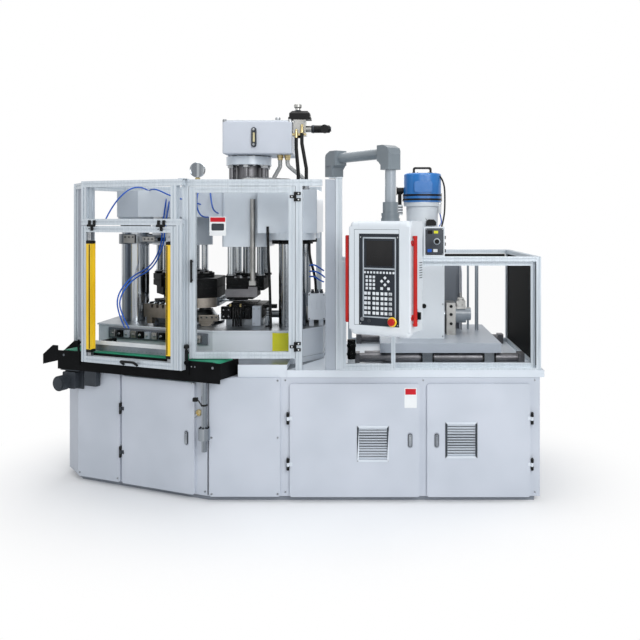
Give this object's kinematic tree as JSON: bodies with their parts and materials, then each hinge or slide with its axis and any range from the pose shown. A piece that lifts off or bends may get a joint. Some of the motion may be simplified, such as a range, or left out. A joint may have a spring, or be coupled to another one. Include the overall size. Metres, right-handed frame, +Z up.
{
  "type": "injection blow moulding machine",
  "caption": "Three-station injection blow moulding machine with a guarded rotary head, horizontal injection unit, discharge conveyor and swinging operator panel",
  "frame": {"origin": "on the floor under the axis of the index head", "axes": "+X along the machine towards the injection unit, +Y to the back, away from the operator, +Z up"},
  "size_m": [3.2921, 1.7963, 2.532],
  "materials": {
    "powder_coat": "pale blue-grey powder coat on steel sheet",
    "table_paint": "pale grey enamel",
    "panel_grey": "grey enamel",
    "anodised": "clear anodised aluminium profile",
    "tinted": "dark tinted acrylic",
    "hard_chrome": "ground and hard-chromed steel",
    "bright_steel": "machined and brushed steel",
    "blackened": "blackened steel",
    "black_plastic": "black moulded plastic",
    "belt_green": "green belt with a fine woven back",
    "curtain_yellow": "yellow painted aluminium housing",
    "arm_grey": "grey enamel on cast and drawn parts",
    "pendant_white": "white powder coat",
    "face_film": "dark printed film",
    "signal_red": "red moulded plastic",
    "loader_blue": "blue gloss enamel",
    "hopper_grey": "pale enamel on spun sheet"
  },
  "bodies": {
    "machine": {"base_cabinet": "powder_coat", "fixed_hinges": "blackened", "worktop": "powder_coat", "press_table": "table_paint", "power_unit": "panel_grey", "guard_frame": "anodised", "conveyor_frame": "blackened", "support_post": "bright_steel", "conveyor_belt": "belt_green", "conveyor_drive": "blackened", "main_columns": "hard_chrome", "black_fittings": "blackened", "top_castings": "table_paint", "tank_neck": "bright_steel", "oil_tank": "table_paint", "valve_group": "bright_steel", "steel_hoses": "bright_steel", "pressure_gauge": "bright_steel", "index_housing": "bright_steel", "lower_moulds": "blackened", "carriage_rails": "hard_chrome", "right_frame": "anodised", "dark_panel": "tinted", "sheet_panels": "table_paint"},
    "service_door": {"service_door": "powder_coat"},
    "middle_door": {"middle_door": "powder_coat"},
    "right_door": {"right_door": "powder_coat"},
    "service_paddle": {"service_latch": "black_plastic"},
    "middle_paddle": {"middle_latch": "black_plastic"},
    "right_paddle": {"right_latch": "black_plastic"},
    "gate": {"gate_frame": "anodised", "light_curtains": "curtain_yellow"},
    "centre_door": {"centre_door": "anodised"},
    "left_slider": {"left_slider": "anodised"},
    "right_slider": {"right_slider": "anodised"},
    "drive_roller": {"drive_roller": "bright_steel"},
    "idle_roller": {"idle_roller": "bright_steel"},
    "index_lift": {"index_shaft": "hard_chrome"},
    "index_head": {"index_head": "blackened", "core_rods": "hard_chrome"},
    "injection_press": {"injection_platen": "blackened"},
    "blow_press": {"blow_platen": "blackened"},
    "stripper": {"stripper_bar": "bright_steel"},
    "carriage": {"injection_carriage": "bright_steel", "barrel": "bright_steel", "barrel_cover": "pendant_white", "hopper": "hopper_grey", "loader_head": "loader_blue", "loader_control": "face_film"},
    "screw": {"screw": "hard_chrome"},
    "loader_dial": {"loader_knob": "black_plastic"},
    "arm": {"swing_arm": "arm_grey"},
    "pendant": {"pendant_cabinet": "pendant_white", "pendant_frame": "pendant_white", "pendant_face": "face_film", "red_handles": "signal_red"},
    "stop_button": {"stop_button": "signal_red"},
    "key_switch": {"key_switch": "bright_steel"},
    "main_switch": {"main_switch": "black_plastic"},
    "gauge_pointer": {"gauge_pointer": "blackened"}
  },
  "joints": [
    {"name": "service_door_swing", "type": "hinge", "parent": "machine", "child": "service_door", "pos_m": [-0.40639, -0.40775, 0.38], "axis": [0, 0, -1], "range_deg": [0, 110]},
    {"name": "middle_door_swing", "type": "hinge", "parent": "machine", "child": "middle_door", "pos_m": [0.713, -0.664, 0.38], "axis": [0, 0, -1], "range_deg": [0, 110]},
    {"name": "right_door_swing", "type": "hinge", "parent": "machine", "child": "right_door", "pos_m": [2.218, -0.664, 0.38], "axis": [0, 0, 1], "range_deg": [0, 110]},
    {"name": "service_latch_turn", "type": "hinge", "parent": "service_door", "child": "service_paddle", "pos_m": [0.07191, -0.60143, 0.414], "axis": [-0.3843, -0.9232, 0], "range_deg": [0, 90]},
    {"name": "middle_latch_turn", "type": "hinge", "parent": "middle_door", "child": "middle_paddle", "pos_m": [1.466, -0.659, 0.414], "axis": [0, -1, 0], "range_deg": [0, 90]},
    {"name": "right_latch_turn", "type": "hinge", "parent": "right_door", "child": "right_paddle", "pos_m": [1.63, -0.659, 0.414], "axis": [0, -1, 0], "range_deg": [0, 90]},
    {"name": "gate_swing", "type": "hinge", "parent": "machine", "child": "gate", "pos_m": [-0.3218, -0.54803, 1.709], "axis": [-0.9232, 0.3843, 0], "range_deg": [0, 90]},
    {"name": "centre_door_swing", "type": "hinge", "parent": "machine", "child": "centre_door", "pos_m": [0.7555, -0.649, 1.4], "axis": [0, 0, 1], "range_deg": [0, 100]},
    {"name": "left_slider_slide", "type": "slide", "parent": "machine", "child": "left_slider", "axis": [1, 0, 0], "range_m": [0, 0.85]},
    {"name": "right_slider_slide", "type": "slide", "parent": "machine", "child": "right_slider", "axis": [1, 0, 0], "range_m": [-0.3, 0]},
    {"name": "drive_roller_turn", "type": "hinge", "parent": "machine", "child": "drive_roller", "pos_m": [-0.80061, -0.21766, 0.8447], "axis": [-0.3843, -0.9232, 0], "continuous": true},
    {"name": "idle_roller_turn", "type": "hinge", "parent": "machine", "child": "idle_roller", "pos_m": [0.28693, -0.67036, 0.8447], "axis": [-0.3843, -0.9232, 0], "continuous": true},
    {"name": "injection_press_close", "type": "slide", "parent": "machine", "child": "injection_press", "axis": [0, 0, 1], "range_m": [-0.04, 0]},
    {"name": "blow_press_close", "type": "slide", "parent": "machine", "child": "blow_press", "axis": [0, 0, 1], "range_m": [-0.04, 0]},
    {"name": "index_lift_slide", "type": "slide", "parent": "machine", "child": "index_lift", "axis": [0, 0, 1], "range_m": [-0.025, 0]},
    {"name": "index_turn", "type": "hinge", "parent": "index_lift", "child": "index_head", "pos_m": [0, 0, 1.15], "axis": [0, 0, 1], "range_deg": [0, 240]},
    {"name": "stripper_slide", "type": "slide", "parent": "machine", "child": "stripper", "axis": [-0.5, -0.866, 0], "range_m": [0, 0.1]},
    {"name": "carriage_slide", "type": "slide", "parent": "machine", "child": "carriage", "axis": [1, 0, 0], "range_m": [0, 0.11]},
    {"name": "screw_turn", "type": "hinge", "parent": "carriage", "child": "screw", "pos_m": [1, 0, 1.085], "axis": [1, 0, 0], "continuous": true},
    {"name": "loader_dial_turn", "type": "hinge", "parent": "carriage", "child": "loader_dial", "pos_m": [1.66, -0.32, 1.602], "axis": [0, -1, 0], "range_deg": [-140, 140]},
    {"name": "arm_swing", "type": "hinge", "parent": "machine", "child": "arm", "pos_m": [0.995, -0.61, 2.05], "axis": [0, 0, 1], "range_deg": [-60, 20]},
    {"name": "pendant_swivel", "type": "hinge", "parent": "arm", "child": "pendant", "pos_m": [1.336, -1.04, 1.847], "axis": [0, 0, 1], "range_deg": [-60, 60]},
    {"name": "stop_button_press", "type": "slide", "parent": "pendant", "child": "stop_button", "axis": [0.454, 0.891, 0], "range_m": [0, 0.005]},
    {"name": "key_turn", "type": "hinge", "parent": "pendant", "child": "key_switch", "pos_m": [1.17702, -1.12734, 1.196], "axis": [-0.454, -0.891, 0], "range_deg": [0, 90]},
    {"name": "main_switch_turn", "type": "hinge", "parent": "pendant", "child": "main_switch", "pos_m": [1.48458, -1.14488, 1.215], "axis": [0.891, -0.454, 0], "range_deg": [0, 90]},
    {"name": "gauge_turn", "type": "hinge", "parent": "machine", "child": "gauge_pointer", "pos_m": [0.146, -0.636, 2.056], "axis": [0, -1, 0], "range_deg": [0, 270]}
  ],
  "couplings": [
    {"joint": "idle_roller_turn", "follows": "drive_roller_turn", "ratio": 1},
    {"joint": "blow_press_close", "follows": "injection_press_close", "ratio": 1},
    {"joint": "index_lift_slide", "follows": "injection_press_close", "ratio": 0.625}
  ]
}
